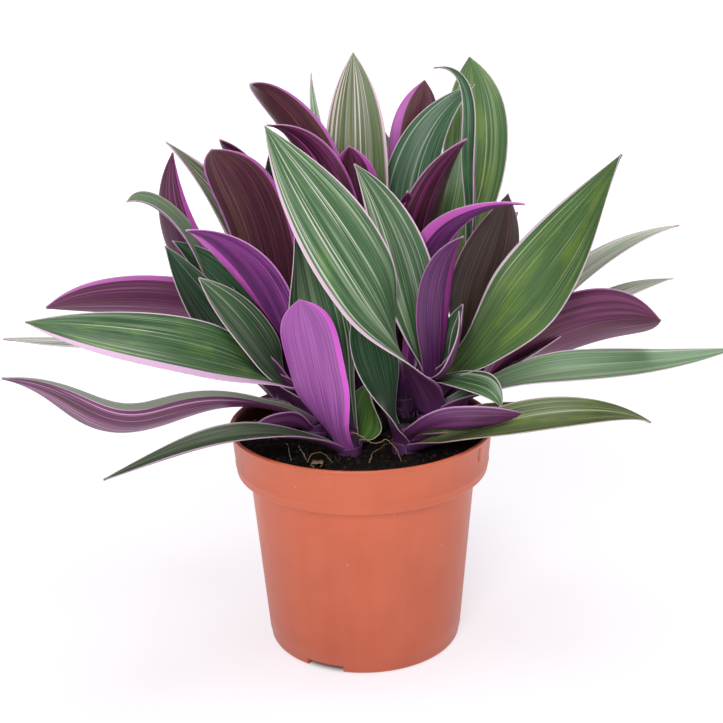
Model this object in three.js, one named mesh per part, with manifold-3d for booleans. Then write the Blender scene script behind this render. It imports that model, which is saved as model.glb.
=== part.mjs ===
// Tricolour boat lily (Tradescantia spathacea) in a 12 cm nursery pot.
// Millimetres, +Z up, origin on the pot's axis at the surface it stands on, camera side -Y.
import * as THREE from 'three';
import { mergeVertices } from 'three/addons/utils/BufferGeometryUtils.js';
import Module from 'manifold-3d';

// Driving dimensions
const GAP = 0.3;
const ROUND_SEGMENTS = 32;

const POT_HEIGHT = 104;
const RIM_RADIUS = 60;
const BASE_RADIUS = 44.3;
const SHOULDER_RADIUS = 51.4;
const COLLAR_HEIGHT = 21;
const COLLAR_RADIUS = 57.2;
const WALL = 1.1;
const FLOOR_UNDERSIDE = 3;
const FLOOR_THICKNESS = 1.4;
const FOOT_WIDTH = 2.8;
const CENTRE_FOOT_RADIUS = 9;
const NOTCH_WIDTH = 18;
const NOTCH_HEIGHT = 3;
const NOTCH_COUNT = 3;
const NOTCH_FIRST_ANGLE = 245;
const DRAIN_RADIUS = 4;
const DRAIN_RING = 30;

const SOIL_LEVEL = 94;
const SOIL_RELIEF = 1.3;
const STEM_DEPTH = 8;
const STEM_RADIUS = 4.6;
const CROWN_RADIUS = 3.4;

const LEAF_THICKNESS = 1.1;
const LEAF_EDGE = 0.7;
const LEAF_TIP = 0.5;
const SHEATH_SHARE = 0.5;
const BROADEST_AT = 0.45;
const SHARP = 2.2;
const BLUNT = 3.5;
const ROUND = 6;
const SHEATH_CURL = 90;
const SHEATH_END = 0.22;
const SHEATH_OFFSET = 3;
const SPINE_STEPS = 40;
const STATIONS = [0, 5, 12, 19, 26, 32, 37, 40];
const ACROSS = [-1, -0.5, 0, 0.5, 1];
const ACROSS_NARROW = [-1, 0, 1];
const NARROW = 26;
const SMOOTHING = 0.4;

const wasm = await Module();
wasm.setup();
const radians = THREE.MathUtils.degToRad;

// One leaf: height of its base above the soil, azimuth (0 right, 90 back, 180 left, 270 front)
// from base to tip, rise above level from base to tip, length, width, turn about its own
// length, how far each half folds up from the midrib, and how blunt the point is. Angles in
// degrees.
function leaf(base, azimuth, rise, length, width, turn, fold, point = SHARP) {
  return { base, azimuth, rise, length, width, turn, fold, point };
}

const SHOOTS = [
  {
    name: 'shoot_front',
    at: [-6, -17],
    leaves: [
      leaf(2, [215, 245], [65, 75, 70], 80, 25, 30, 25, ROUND),
      leaf(2, [220, 190], [40, 15, -10, -20], 115, 14, -10, 30),
      leaf(3, [70, 5], [0, 75, 85], 33, 24, 15, 30),
      leaf(7, [120, 250], [70, 80, 75], 110, 28, -80, 25),
    ],
  },
  {
    name: 'shoot_front_right',
    at: [19, -16],
    leaves: [
      leaf(2, [-45, 35], [30, 20, 0, -30], 120, 21, 20, 22),
      leaf(6, [-5, 20], [25, 5, 5], 75, 21, 10, 30),
      leaf(8, [-65, 30], [45, 10, -5], 65, 16, -60, 35),
      leaf(2, [200, 105], [80, 70, 70], 68, 31, 0, 25),
    ],
  },
  {
    name: 'shoot_right',
    at: [31, 4],
    leaves: [
      leaf(12, [235, 170], [65, 60, 60], 155, 42, -60, 14),
      leaf(26, [145, 185], [85, 75, 55], 105, 25, -65, 25),
      leaf(24, [-45, -60], [85, 85, 35], 80, 21, 0, 35),
      leaf(18, [15, -65], [45, 55, 55], 145, 37, 70, 14),
      leaf(28, [-70, -25], [20, 65, 95], 45, 14, 40, 40),
      leaf(30, [0, 5], [60, 70, 80], 35, 18, 20, 40),
      leaf(24, [-45, -50], [55, 5, 0, -55], 45, 19, 10, 30),
      leaf(10, [-10, 5], [40, 5, 10], 140, 22, 20, 20),
    ],
  },
  {
    name: 'shoot_left',
    at: [-21, 6],
    leaves: [
      leaf(4, [225, 180], [45, 10, -15], 30, 14, 60, 20),
      leaf(6, [205, 210], [45, 10, -5, 40, 20], 150, 28, 45, 35),
      leaf(14, [235, 165], [50, 20, 5], 145, 30, -40, 22),
      leaf(12, [225, 165], [50, 60, 40], 85, 27, -35, 18),
      leaf(22, [185, 240], [75, 60, 15], 110, 32, 15, 12),
      leaf(8, [200, 175], [65, 40, 15], 40, 20, 40, 40),
      leaf(16, [190, 205], [55, 40, 25], 70, 15, 20, 35),
    ],
  },
  {
    name: 'shoot_far_left',
    at: [-36, 26],
    leaves: [
      leaf(14, [205, 185], [85, 20, -10], 130, 26, 65, 30, BLUNT),
      leaf(8, [135, 205], [40, 0, 15], 150, 18, -5, 25),
      leaf(16, [195, 235], [50, 55, 60], 95, 24, -80, 25),
      leaf(20, [170, 195], [80, 55, 40], 85, 24, -45, 30),
      leaf(24, [155, 260], [45, 65, 0], 130, 20, -40, 25),
      leaf(26, [220, 240], [90, 75, 40], 120, 32, 20, 25, ROUND),
      leaf(22, [160, 195], [50, 60, 105], 120, 24, 65, 30),
    ],
  },
  {
    name: 'shoot_back_left',
    at: [-19, 43],
    leaves: [
      leaf(24, [155, 225], [65, 60, 45], 130, 30, -40, 15),
      leaf(28, [120, 255], [35, 80, 30], 125, 22, 15, 40),
      leaf(30, [165, 90], [45, 90, 145], 120, 22, 10, 55),
      leaf(8, [125, 125], [55, 30, -5], 125, 28, 0, 28),
    ],
  },
  {
    name: 'shoot_back',
    at: [-2, 28],
    leaves: [
      leaf(30, [110, 265], [80, 75, 10], 160, 27, 25, 35),
      leaf(40, [155, 90], [75, 80, 35], 130, 7, -5, 35),
      leaf(24, [205, 240], [85, 80, 10], 145, 25, 10, 45),
      leaf(38, [75, 95], [80, 90, 70], 133, 30, 0, 22, BLUNT),
      leaf(30, [-80, -100], [85, 90, 60], 105, 24, 0, 30, ROUND),
      leaf(10, [95, 100], [55, 30, -10], 120, 28, 0, 28),
      leaf(18, [110, 110], [65, 50, 30], 120, 27, 0, 25),
    ],
  },
  {
    name: 'shoot_back_right',
    at: [20, 34],
    leaves: [
      leaf(34, [0, 115], [65, 60, 70], 145, 31, 0, 18, ROUND),
      leaf(30, [95, -25], [55, 85, 80], 130, 28, -60, 30, ROUND),
      leaf(26, [65, 10], [85, 85, 30], 140, 28, 45, 30),
      leaf(20, [-45, -45], [85, 80, 40], 125, 27, -10, 30),
      leaf(18, [-60, -95], [85, 90, 40], 100, 20, 10, 45),
      leaf(14, [-45, -55], [75, 80, 35, 5], 140, 20, -15, 30),
      leaf(12, [70, 70], [60, 40, 5], 125, 30, 0, 25),
      leaf(6, [85, 85], [40, 10, -15], 110, 26, 0, 25),
      leaf(20, [95, 95], [75, 60, 40], 125, 27, 0, 25),
    ],
  },
  {
    name: 'shoot_far_right',
    at: [44, 24],
    leaves: [
      leaf(36, [-20, 140], [85, 85, 100, -10], 145, 9, -30, 60),
      leaf(32, [-20, -40], [80, 70, 80], 82, 31, -40, 25),
      leaf(8, [5, -45], [50, 30, 0], 110, 32, -60, 25, ROUND),
      leaf(16, [15, 10], [40, 40, 10], 130, 19, 10, 25),
      leaf(12, [-5, 30], [35, 30, 0], 120, 18, 5, 30),
      leaf(28, [55, 5], [20, 70, 75], 80, 20, 0, 30),
      leaf(10, [50, 50], [55, 30, -5], 115, 27, 0, 25),
    ],
  },
];

// Seeded random numbers in 0..1
function randomFrom(seed) {
  let state = seed;
  return () => {
    state = (state * 1664525 + 1013904223) % 4294967296;
    return state / 4294967296;
  };
}

function ease(t) {
  const x = THREE.MathUtils.clamp(t, 0, 1);
  return x * x * (3 - 2 * x);
}

// Smooth value at s (0..1) through evenly spaced values
function along(values, s) {
  const last = values.length - 1;
  const x = THREE.MathUtils.clamp(s, 0, 1) * last;
  const i = Math.min(Math.floor(x), last - 1);
  const t = x - i;
  const slope = (k) => {
    if (k === 0) return values[1] - values[0];
    if (k === last) return values[last] - values[last - 1];
    return (values[k + 1] - values[k - 1]) / 2;
  };
  return values[i] * (2 * t ** 3 - 3 * t ** 2 + 1) + slope(i) * (t ** 3 - 2 * t ** 2 + t)
    + values[i + 1] * (3 * t ** 2 - 2 * t ** 3) + slope(i + 1) * (t ** 3 - t ** 2);
}

// Closed solid from a geometry, with its seams welded and its slivers dropped
function solidOf(geometry) {
  const bare = geometry.clone();
  bare.deleteAttribute('normal');
  bare.deleteAttribute('uv');
  const welded = mergeVertices(bare, 1e-4);
  const corners = welded.index.array;
  const kept = [];
  for (let i = 0; i < corners.length; i += 3) {
    const [a, b, c] = [corners[i], corners[i + 1], corners[i + 2]];
    if (a !== b && b !== c && c !== a) kept.push(a, b, c);
  }
  return new wasm.Manifold(new wasm.Mesh({
    numProp: 3,
    vertProperties: new Float32Array(welded.attributes.position.array),
    triVerts: new Uint32Array(kept),
  }));
}

// Largest outer skin of a solid, so that no hollow stays closed in among clasping sheaths
function outerSkin(solid) {
  const pieces = solid.decompose();
  pieces.sort((a, b) => b.volume() - a.volume());
  return pieces[0];
}

function meshOf(solid, name, material) {
  const mesh = solid.getMesh();
  const geometry = new THREE.BufferGeometry();
  geometry.setAttribute('position', new THREE.Float32BufferAttribute(mesh.vertProperties, 3));
  geometry.setIndex(Array.from(mesh.triVerts));
  geometry.computeVertexNormals();
  const result = new THREE.Mesh(geometry, material);
  result.name = name;
  return result;
}

// Solid of revolution about Z from a closed outline of [radius, height]
function turned(outline) {
  const points = [...outline, outline[0]].map(([r, z]) => new THREE.Vector2(r, z));
  const geometry = new THREE.LatheGeometry(points, ROUND_SEGMENTS);
  geometry.rotateX(Math.PI / 2);
  return solidOf(geometry);
}

// Upright cylinder or cone standing on z0 at x, y
function post(x, y, z0, z1, bottomRadius, topRadius, segments) {
  const geometry = new THREE.CylinderGeometry(topRadius, bottomRadius, z1 - z0, segments);
  geometry.rotateX(Math.PI / 2);
  geometry.translate(x, y, (z0 + z1) / 2);
  return solidOf(geometry);
}

// Radius of the pot's inner face at a height, wall taken off the tapering body and collar
function innerRadius(z) {
  const step = POT_HEIGHT - COLLAR_HEIGHT;
  if (z < step) {
    return THREE.MathUtils.lerp(BASE_RADIUS, SHOULDER_RADIUS, z / step) - WALL;
  }
  return THREE.MathUtils.lerp(COLLAR_RADIUS, RIM_RADIUS - 1.4, (z - step) / COLLAR_HEIGHT) - WALL;
}

function potOutline() {
  const step = POT_HEIGHT - COLLAR_HEIGHT;
  const floorTop = FLOOR_UNDERSIDE + FLOOR_THICKNESS;
  const footInner = BASE_RADIUS - FOOT_WIDTH;
  return [
    [0, FLOOR_UNDERSIDE],
    [footInner, FLOOR_UNDERSIDE],
    [footInner, 0],
    [BASE_RADIUS - 0.7, 0],
    [BASE_RADIUS, 0.7],
    [BASE_RADIUS + 0.2, 4],
    [BASE_RADIUS + 0.7, 4.5],
    [SHOULDER_RADIUS, step - 2],
    [SHOULDER_RADIUS + 0.8, step - 0.6],
    [COLLAR_RADIUS - 2.2, step - 0.4],
    [COLLAR_RADIUS - 0.7, step + 0.4],
    [COLLAR_RADIUS, step + 2],
    [COLLAR_RADIUS + 0.3, step + 3.6],
    [COLLAR_RADIUS + 0.7, step + 4.4],
    [RIM_RADIUS - 1.2, POT_HEIGHT - 2.4],
    [RIM_RADIUS - 0.3, POT_HEIGHT - 1.6],
    [RIM_RADIUS, POT_HEIGHT - 0.8],
    [RIM_RADIUS - 0.4, POT_HEIGHT],
    [RIM_RADIUS - 1.5, POT_HEIGHT],
    [innerRadius(POT_HEIGHT - 2.5), POT_HEIGHT - 2.5],
    [innerRadius(step + 1.4), step + 1.4],
    [innerRadius(step - 0.1) + 0.4, step + 0.6],
    [innerRadius(step - 1), step - 1],
    [innerRadius(floorTop), floorTop],
    [0, floorTop],
  ];
}

function potSolid() {
  const step = 360 / NOTCH_COUNT;
  let pot = turned(potOutline());
  const overlap = 0.4;
  pot = pot.add(post(0, 0, 0, FLOOR_UNDERSIDE + overlap, CENTRE_FOOT_RADIUS - 0.6, CENTRE_FOOT_RADIUS, 32));
  for (let i = 0; i < NOTCH_COUNT; i += 1) {
    const angle = radians(NOTCH_FIRST_ANGLE + i * step);
    const notch = new THREE.BoxGeometry(4 * FOOT_WIDTH, NOTCH_WIDTH, 2 * NOTCH_HEIGHT);
    notch.translate(BASE_RADIUS, 0, 0);
    notch.rotateZ(angle);
    pot = pot.subtract(solidOf(notch));
    const x = DRAIN_RING * Math.cos(angle);
    const y = DRAIN_RING * Math.sin(angle);
    pot = pot.subtract(post(x, y, 0, 9, DRAIN_RADIUS, DRAIN_RADIUS, 20));
  }
  return pot;
}

// Height of the soil's top: a shallow mound with crumbs, level where a stem stands
function soilHeight(random, r) {
  const mound = 1.5 * (1 - (r / 55) ** 2);
  return SOIL_LEVEL + mound + SOIL_RELIEF * (2 * random() - 1);
}

function soilSolid() {
  const random = randomFrom(7);
  const step = POT_HEIGHT - COLLAR_HEIGHT;
  const floor = FLOOR_UNDERSIDE + FLOOR_THICKNESS + GAP;
  const side = [
    [innerRadius(floor) - GAP, floor],
    [innerRadius(step - 2) - GAP, step - 2],
    [innerRadius(step - 2) - GAP, step + 1.4 + GAP],
    [innerRadius(step + 2) - 2 * GAP, step + 2.4],
    [innerRadius(SOIL_LEVEL) - 2 * GAP, SOIL_LEVEL - 1],
  ];
  const rings = [54, 47, 39, 30, 20, 10];
  const positions = [0, 0, floor];
  const index = [];
  const ring = (radius, height) => {
    const first = positions.length / 3;
    for (let k = 0; k < ROUND_SEGMENTS; k += 1) {
      const angle = (2 * Math.PI * k) / ROUND_SEGMENTS;
      positions.push(radius * Math.sin(angle), radius * -Math.cos(angle), height(k));
    }
    return first;
  };
  const starts = [];
  side.forEach(([r, z]) => starts.push(ring(r, () => z)));
  rings.forEach((r) => starts.push(ring(r, () => soilHeight(random, r))));
  const top = positions.length / 3;
  positions.push(0, 0, SOIL_LEVEL + 1.5);
  for (let k = 0; k < ROUND_SEGMENTS; k += 1) {
    const next = (k + 1) % ROUND_SEGMENTS;
    index.push(0, starts[0] + next, starts[0] + k);
    for (let j = 0; j + 1 < starts.length; j += 1) {
      const [low, high] = [starts[j], starts[j + 1]];
      index.push(low + k, low + next, high + next, low + k, high + next, high + k);
    }
    const inner = starts[starts.length - 1];
    index.push(inner + k, inner + next, top);
  }
  const geometry = new THREE.BufferGeometry();
  geometry.setAttribute('position', new THREE.Float32BufferAttribute(positions, 3));
  geometry.setIndex(index);
  let soil = solidOf(geometry);
  SHOOTS.forEach(({ at }) => {
    const hole = STEM_RADIUS + GAP;
    soil = soil.subtract(post(at[0], at[1], SOIL_LEVEL - STEM_DEPTH, SOIL_LEVEL + 9, hole, hole, 16));
  });
  return soil;
}

// Points and axes down the middle of a leaf: along it, across it and out of its upper face
function spine(one, root) {
  const frames = [];
  const first = radians(one.azimuth[0]);
  const point = new THREE.Vector3(
    root[0] + SHEATH_OFFSET * Math.cos(first),
    root[1] + SHEATH_OFFSET * Math.sin(first),
    SOIL_LEVEL + one.base,
  );
  let before = null;
  for (let i = 0; i <= SPINE_STEPS; i += 1) {
    const s = i / SPINE_STEPS;
    const azimuth = radians(along(one.azimuth, s));
    const rise = radians(along(one.rise, s));
    const ahead = new THREE.Vector3(
      Math.cos(rise) * Math.cos(azimuth),
      Math.cos(rise) * Math.sin(azimuth),
      Math.sin(rise),
    );
    if (before) {
      const half = one.length / SPINE_STEPS / 2;
      point.addScaledVector(before, half).addScaledVector(ahead, half);
    }
    before = ahead;
    const level = new THREE.Vector3(-Math.sin(azimuth), Math.cos(azimuth), 0);
    const upper = new THREE.Vector3().crossVectors(ahead, level);
    const turn = radians(one.turn) * ease(s / 0.5);
    const side = level.clone().multiplyScalar(Math.cos(turn)).addScaledVector(upper, Math.sin(turn));
    const out = upper.clone().multiplyScalar(Math.cos(turn)).addScaledVector(level, -Math.sin(turn));
    frames.push({ s, point: point.clone(), side, out });
  }
  return frames;
}

function halfWidth(s, { width, point }) {
  const share = SHEATH_SHARE + (1 - SHEATH_SHARE) * ease(s / BROADEST_AT);
  const beyond = THREE.MathUtils.clamp((s - BROADEST_AT) / (1 - BROADEST_AT), 0, 1);
  return Math.max((width / 2) * share * (1 - beyond ** point), LEAF_TIP);
}

// Closed blade: a clasping gutter at the base that opens into a shallow boat-shaped blade
function leafSolid(one, root) {
  const frames = spine(one, root);
  const across = one.width < NARROW ? ACROSS_NARROW : ACROSS;
  const positions = [];
  STATIONS.forEach((station) => {
    const { s, point, side, out } = frames[station];
    const half = halfWidth(s, one);
    const open = radians(one.fold);
    const curl = open + (radians(SHEATH_CURL) - open) * (1 - ease(s / SHEATH_END));
    const radius = half / curl;
    const upper = [];
    const lower = [];
    across.forEach((u) => {
      const angle = u * curl;
      const thick = THREE.MathUtils.lerp(LEAF_THICKNESS, LEAF_EDGE, Math.abs(u));
      const place = (r) => point.clone()
        .addScaledVector(side, r * Math.sin(angle))
        .addScaledVector(out, radius - r * Math.cos(angle));
      upper.push(place(radius));
      lower.push(place(radius + thick));
    });
    [...upper, ...lower.reverse()].forEach((p) => positions.push(p.x, p.y, p.z));
  });
  const around = 2 * across.length;
  const index = [];
  for (let j = 0; j + 1 < STATIONS.length; j += 1) {
    for (let k = 0; k < around; k += 1) {
      const [a, b] = [j * around + k, j * around + ((k + 1) % around)];
      if (k < across.length) index.push(a, a + around, b, b, a + around, b + around);
      else index.push(a, a + around, b + around, a, b + around, b);
    }
  }
  const end = (STATIONS.length - 1) * around;
  for (let k = 0; k + 1 < across.length; k += 1) {
    const [a, b, c, d] = [k, k + 1, around - 2 - k, around - 1 - k];
    index.push(a, b, c, a, c, d);
    index.push(end + a, end + c, end + b, end + a, end + d, end + c);
  }
  const geometry = new THREE.BufferGeometry();
  geometry.setAttribute('position', new THREE.Float32BufferAttribute(positions, 3));
  geometry.setIndex(index);
  return solidOf(geometry);
}

// Short thick stem with all its leaves grown together at their clasping bases
function shootSolid({ at, leaves }) {
  const highest = Math.max(...leaves.map(({ base }) => base));
  const top = SOIL_LEVEL + highest + 5;
  const foot = SOIL_LEVEL - STEM_DEPTH + GAP;
  let shoot = post(at[0], at[1], foot, top, STEM_RADIUS, CROWN_RADIUS, 10);
  leaves.forEach((one) => {
    shoot = shoot.add(leafSolid(one, at));
  });
  return outerSkin(shoot.simplify(SMOOTHING));
}

function polypropylene() {
  return new THREE.MeshStandardMaterial({ color: 0xc8674c, roughness: 0.45, metalness: 0 });
}

function pottingMix() {
  return new THREE.MeshStandardMaterial({ color: 0x2e241f, roughness: 0.95, metalness: 0 });
}

function foliage() {
  return new THREE.MeshStandardMaterial({ color: 0x5c7350, roughness: 0.5, metalness: 0 });
}

const plant = new THREE.Group();
plant.name = 'potted_tradescantia';
plant.add(meshOf(potSolid(), 'pot', polypropylene()));
plant.add(meshOf(soilSolid(), 'potting_mix', pottingMix()));
SHOOTS.forEach((shoot) => plant.add(meshOf(shootSolid(shoot), shoot.name, foliage())));

export default plant;
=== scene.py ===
"""Tricolour boat lily in a 12 cm nursery pot, dressed for rendering. Metres, +Z up."""
import math
import random

import bmesh
import bpy
import numpy as np
from mathutils import Matrix, Vector


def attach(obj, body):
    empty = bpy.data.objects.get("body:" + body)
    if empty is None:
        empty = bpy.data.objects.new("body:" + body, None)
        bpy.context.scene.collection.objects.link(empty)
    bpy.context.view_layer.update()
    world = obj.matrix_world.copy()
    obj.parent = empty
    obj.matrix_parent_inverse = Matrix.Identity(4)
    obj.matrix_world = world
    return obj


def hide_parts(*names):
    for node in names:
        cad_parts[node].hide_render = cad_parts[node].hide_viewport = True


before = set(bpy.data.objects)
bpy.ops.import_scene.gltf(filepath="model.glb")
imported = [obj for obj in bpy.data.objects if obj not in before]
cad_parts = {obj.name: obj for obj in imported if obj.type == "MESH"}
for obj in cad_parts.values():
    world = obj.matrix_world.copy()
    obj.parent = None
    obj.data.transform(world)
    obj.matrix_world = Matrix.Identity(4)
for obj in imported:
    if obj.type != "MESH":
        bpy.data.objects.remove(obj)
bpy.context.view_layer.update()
MM = 0.001

# ------------------------------------------------------------------ camera
# The plant is seen from a little above the rim with a short telephoto lens, 0.6 m from its
# middle, and the picture leans by about a degree. Metres.
CAMERA_TARGET = Vector((0.0005, 0, 0.1322))
CAMERA_DISTANCE = 0.6
CAMERA_ELEVATION = math.radians(18.15)
CAMERA_LEAN = -0.019
CAMERA_LENS = 66.8

camera = bpy.data.objects.new("camera", bpy.data.cameras.new("camera"))
bpy.context.scene.collection.objects.link(camera)
bpy.context.scene.camera = camera
camera.data.lens = CAMERA_LENS
camera.data.sensor_width = 36
camera.data.clip_start = 0.02
tilt = Matrix.Rotation(math.pi / 2 - CAMERA_ELEVATION, 4, "X")
away = Vector((0, -math.cos(CAMERA_ELEVATION), math.sin(CAMERA_ELEVATION)))
place = Matrix.Translation(CAMERA_TARGET + away * CAMERA_DISTANCE)
camera.matrix_world = place @ tilt @ Matrix.Rotation(CAMERA_LEAN, 4, "Z")

# ------------------------------------------------------------------ studio
# A sheet of matt paper lit from below as on a light table. Near the pot its glow is weaker and
# lilac, a painted shade and a painted lilac bounce, and under the pot's foot the glow fades out as
# a painted shadow. A bright room with large soft lamps in front and above, so that shadows are
# hardly seen. Metres, as for the camera.
FLOOR_RADIUS = 9.0
FLOOR_SIDES = 48
FLOOR_DROP = 0.0002
PAPER_WITH_PAINTED_BOUNCE = "FDFAFE"
PAPER_FAR = "FFFFFF"
PAPER_PAINTED_SHADE_RADII = (0.2, 0.6)
PAPER_SHADE = "B4B2B6"
PAPER_GLOW = (0.68, 0.95)
PAPER_PAINTED_SHADOW_RADII = (0.040, 0.045)
ROOM_LIGHT = 0.26
WALL_LIGHT = 0.95
WALL_TOP = (0.06, 0.16)
LAMPS = (
    ("key", (-0.4, -1.7, 1.2), 0.7, 19),
    ("fill", (1.4, -1.0, 0.9), 0.9, 3),
    ("top", (0.1, 0.1, 1.8), 1.1, 14),
)


def linear(code):
    """A hex sRGB colour as linear RGBA."""
    parts = [int(code[i:i + 2], 16) / 255 for i in (0, 2, 4)]
    return [p / 12.92 if p <= 0.04045 else ((p + 0.055) / 1.055) ** 2.4 for p in parts] + [1]


def node(tree, kind, inputs=None, **settings):
    """Adds a shader node, with its settings and with a value or a link on each input given."""
    made = tree.nodes.new("ShaderNode" + kind)
    for name, value in settings.items():
        setattr(made, name, value)
    for socket, value in (inputs or {}).items():
        if isinstance(value, bpy.types.NodeSocket):
            tree.links.new(value, made.inputs[socket])
        else:
            made.inputs[socket].default_value = value
    return made


def new_material(name):
    """An empty node material: its tree and its Principled shader."""
    material = bpy.data.materials.new(name)
    material.use_nodes = True
    tree = material.node_tree
    return material, tree, tree.nodes["Principled BSDF"]


def mesh_object(name, points, faces, smooth=True):
    """A new object from points in metres and faces."""
    mesh = bpy.data.meshes.new(name)
    mesh.from_pydata([tuple(p) for p in points], [], faces)
    mesh.polygons.foreach_set("use_smooth", [smooth] * len(mesh.polygons))
    mesh.update()
    made = bpy.data.objects.new(name, mesh)
    bpy.context.scene.collection.objects.link(made)
    return made


paper, tree, shader = new_material("matt_paper")
spot = node(tree, "TexCoord").outputs["Object"]
away = node(tree, "VectorMath", {0: spot}, operation="LENGTH").outputs["Value"]
# Painted shade and painted lilac bounce: near the pot the paper's glow is weaker and lilac, fading to
# an even white glow further out.
far = node(tree, "MapRange", {0: away, 1: PAPER_PAINTED_SHADE_RADII[0], 2: PAPER_PAINTED_SHADE_RADII[1]},
           interpolation_type="SMOOTHSTEP").outputs[0]
tone = node(tree, "Mix", {0: far, 6: linear(PAPER_WITH_PAINTED_BOUNCE), 7: linear(PAPER_FAR)}, data_type="RGBA")
tree.links.new(tone.outputs[2], shader.inputs["Emission Color"])
glow = node(tree, "MapRange", {0: far, 3: PAPER_GLOW[0], 4: PAPER_GLOW[1]}).outputs[0]
# Painted shadow: the paper's glow fades to nothing under the pot's foot.
painted_shadow = node(tree, "MapRange", {0: away, 1: PAPER_PAINTED_SHADOW_RADII[0], 2: PAPER_PAINTED_SHADOW_RADII[1]},
               interpolation_type="SMOOTHSTEP").outputs[0]
glow = node(tree, "Math", {0: glow, 1: painted_shadow}, operation="MULTIPLY").outputs[0]
tree.links.new(glow, shader.inputs["Emission Strength"])
shader.inputs["Base Color"].default_value = linear(PAPER_SHADE)
shader.inputs["Roughness"].default_value = 0.9
shader.inputs["Specular IOR Level"].default_value = 0.1

turns = [math.tau * i / FLOOR_SIDES for i in range(FLOOR_SIDES)]
floor_edge = [(FLOOR_RADIUS * math.cos(t), FLOOR_RADIUS * math.sin(t), -FLOOR_DROP) for t in turns]
floor = mesh_object("floor", floor_edge, [list(range(FLOOR_SIDES))], smooth=False)
floor.data.materials.append(paper)

world = bpy.data.worlds.new("studio")
bpy.context.scene.world = world
world.use_nodes = True
tree = world.node_tree
height = node(tree, "SeparateXYZ", {0: node(tree, "TexCoord").outputs["Generated"]}).outputs[2]
dome = node(tree, "MapRange", {0: height, 1: WALL_TOP[0], 2: WALL_TOP[1], 3: WALL_LIGHT,
                               4: ROOM_LIGHT}, interpolation_type="SMOOTHSTEP").outputs[0]
tree.links.new(dome, tree.nodes["Background"].inputs[1])
tree.nodes["Background"].inputs[0].default_value = (1, 1, 1, 1)
for name, spot_at, size, watts in LAMPS:
    lamp = bpy.data.objects.new(name, bpy.data.lights.new(name, "AREA"))
    lamp.data.size = size
    lamp.data.energy = watts
    lamp.location = spot_at
    lamp.rotation_euler = (CAMERA_TARGET - lamp.location).to_track_quat("-Z", "Y").to_euler()
    bpy.context.scene.collection.objects.link(lamp)
bpy.context.scene.view_settings.view_transform = "Standard"

# --------------------------------------------------------------------- pot
# The pot is a thin-walled nursery pot, injection moulded in one piece of terracotta-coloured
# polypropylene: a tapered body, a taller collar with a faint ridge near its foot, a rolled
# rim, a foot ring with three drainage notches, and four holes in the floor. Sizes are in mm and
# angles in degrees, but NOTCH_EDGE, the small turn over which a notch's side rises, is in radians.
POT_STEPS = 144
POT_HEIGHT = 104
FOOT_RADIUS = 44.3
SHOULDER = 83
SHOULDER_RADIUS = 51.4
COLLAR_RADII = (57.2, 58.6)
WALL = 1.1
RIDGE_AT = 87.3
RIDGE = 0.3
NOTCHES = 3
NOTCH_FIRST = 245
NOTCH_WIDTH = 18
NOTCH_HEIGHT = 3
NOTCH_EDGE = 0.0006
HOLES = 4
HOLE_RADIUS = 4
HOLE_RING = 30
HOLE_FIRST = 45
SLIT_ANGLE = 330
SLIT_FOOT = 95.5
SLIT_WIDTH = 0.5
SLIT_HEIGHT = 5.5
SLIT_REACH = (57.9, 60)
CLOUD_SIZE = 24
STREAK_SIZE = (9, 9, 45)
SCRATCH_SIZE = (1.2, 30, 14)
GRAIN_SIZE = 0.5
FLECK_SPACING = 7
PAINTED_SHADE_TOP = 75
INNER_SHADE_HEIGHTS = (84, 88)
POLYPROPYLENE_IOR = 1.49
TERRACOTTA = "C65F3D"
TERRACOTTA_DEEP_AND_SHADED = "B04E30"
TERRACOTTA_PALE = "D98A70"
INNER_PAINTED_SHADE = "2E1B15"


def inner_radius(z):
    """Inside radius of the pot at a height, in mm."""
    if z < SHOULDER:
        return FOOT_RADIUS + (SHOULDER_RADIUS - FOOT_RADIUS) * z / SHOULDER - WALL
    low, high = COLLAR_RADII
    return low + (high - low) * (z - SHOULDER) / (POT_HEIGHT - SHOULDER) - WALL


def lathe(name, outline, angles):
    """A closed ring of faces round the axis from (radius, height) points in mm."""
    points, faces, count = [], [], len(outline)
    for angle in angles:
        for radius, height in outline:
            points.append((radius * MM * math.cos(angle), radius * MM * math.sin(angle), height * MM))
    for i in range(len(angles)):
        j = (i + 1) % len(angles)
        for k in range(count):
            m = (k + 1) % count
            faces.append((i * count + k, j * count + k, j * count + m, i * count + m))
    return mesh_object(name, points, faces)


def welded(piece, distance=0.00001):
    """Joins points that lie together, and turns all faces outwards."""
    shape = bmesh.new()
    shape.from_mesh(piece.data)
    bmesh.ops.remove_doubles(shape, verts=shape.verts, dist=distance)
    bmesh.ops.dissolve_degenerate(shape, edges=shape.edges, dist=distance / 2)
    bmesh.ops.recalc_face_normals(shape, faces=shape.faces)
    shape.to_mesh(piece.data)
    shape.free()
    return piece


def cut(piece, cutter):
    """Takes the cutter out of the piece."""
    cutting = piece.modifiers.new("cut", "BOOLEAN")
    cutting.operation = "DIFFERENCE"
    cutting.solver = "EXACT"
    cutting.object = cutter
    graph = bpy.context.evaluated_depsgraph_get()
    result = bpy.data.meshes.new_from_object(piece.evaluated_get(graph))
    piece.modifiers.clear()
    piece.data = result
    bpy.data.objects.remove(cutter)


def round_bar(name, x, y, low, high, radius, steps=32):
    """An upright round bar, in mm."""
    outline = [(0.001, low), (radius, low), (radius, high), (0.001, high)]
    bar = welded(lathe(name, outline, [math.tau * i / steps for i in range(steps)]))
    bar.data.transform(Matrix.Translation((x * MM, y * MM, 0)))
    return bar


def fitted(piece, slot, *nodes):
    """Fixes a piece to the object and hides the CAD nodes that it stands for; the slot is not used."""
    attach(piece, "root")
    if nodes:
        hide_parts(*nodes)
    return piece


def arc(centre, radius, start, end, steps):
    """Points of an arc, in degrees."""
    sweep = [math.radians(start + (end - start) * i / steps) for i in range(steps + 1)]
    return [(centre[0] + radius * math.cos(t), centre[1] + radius * math.sin(t)) for t in sweep]


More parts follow.
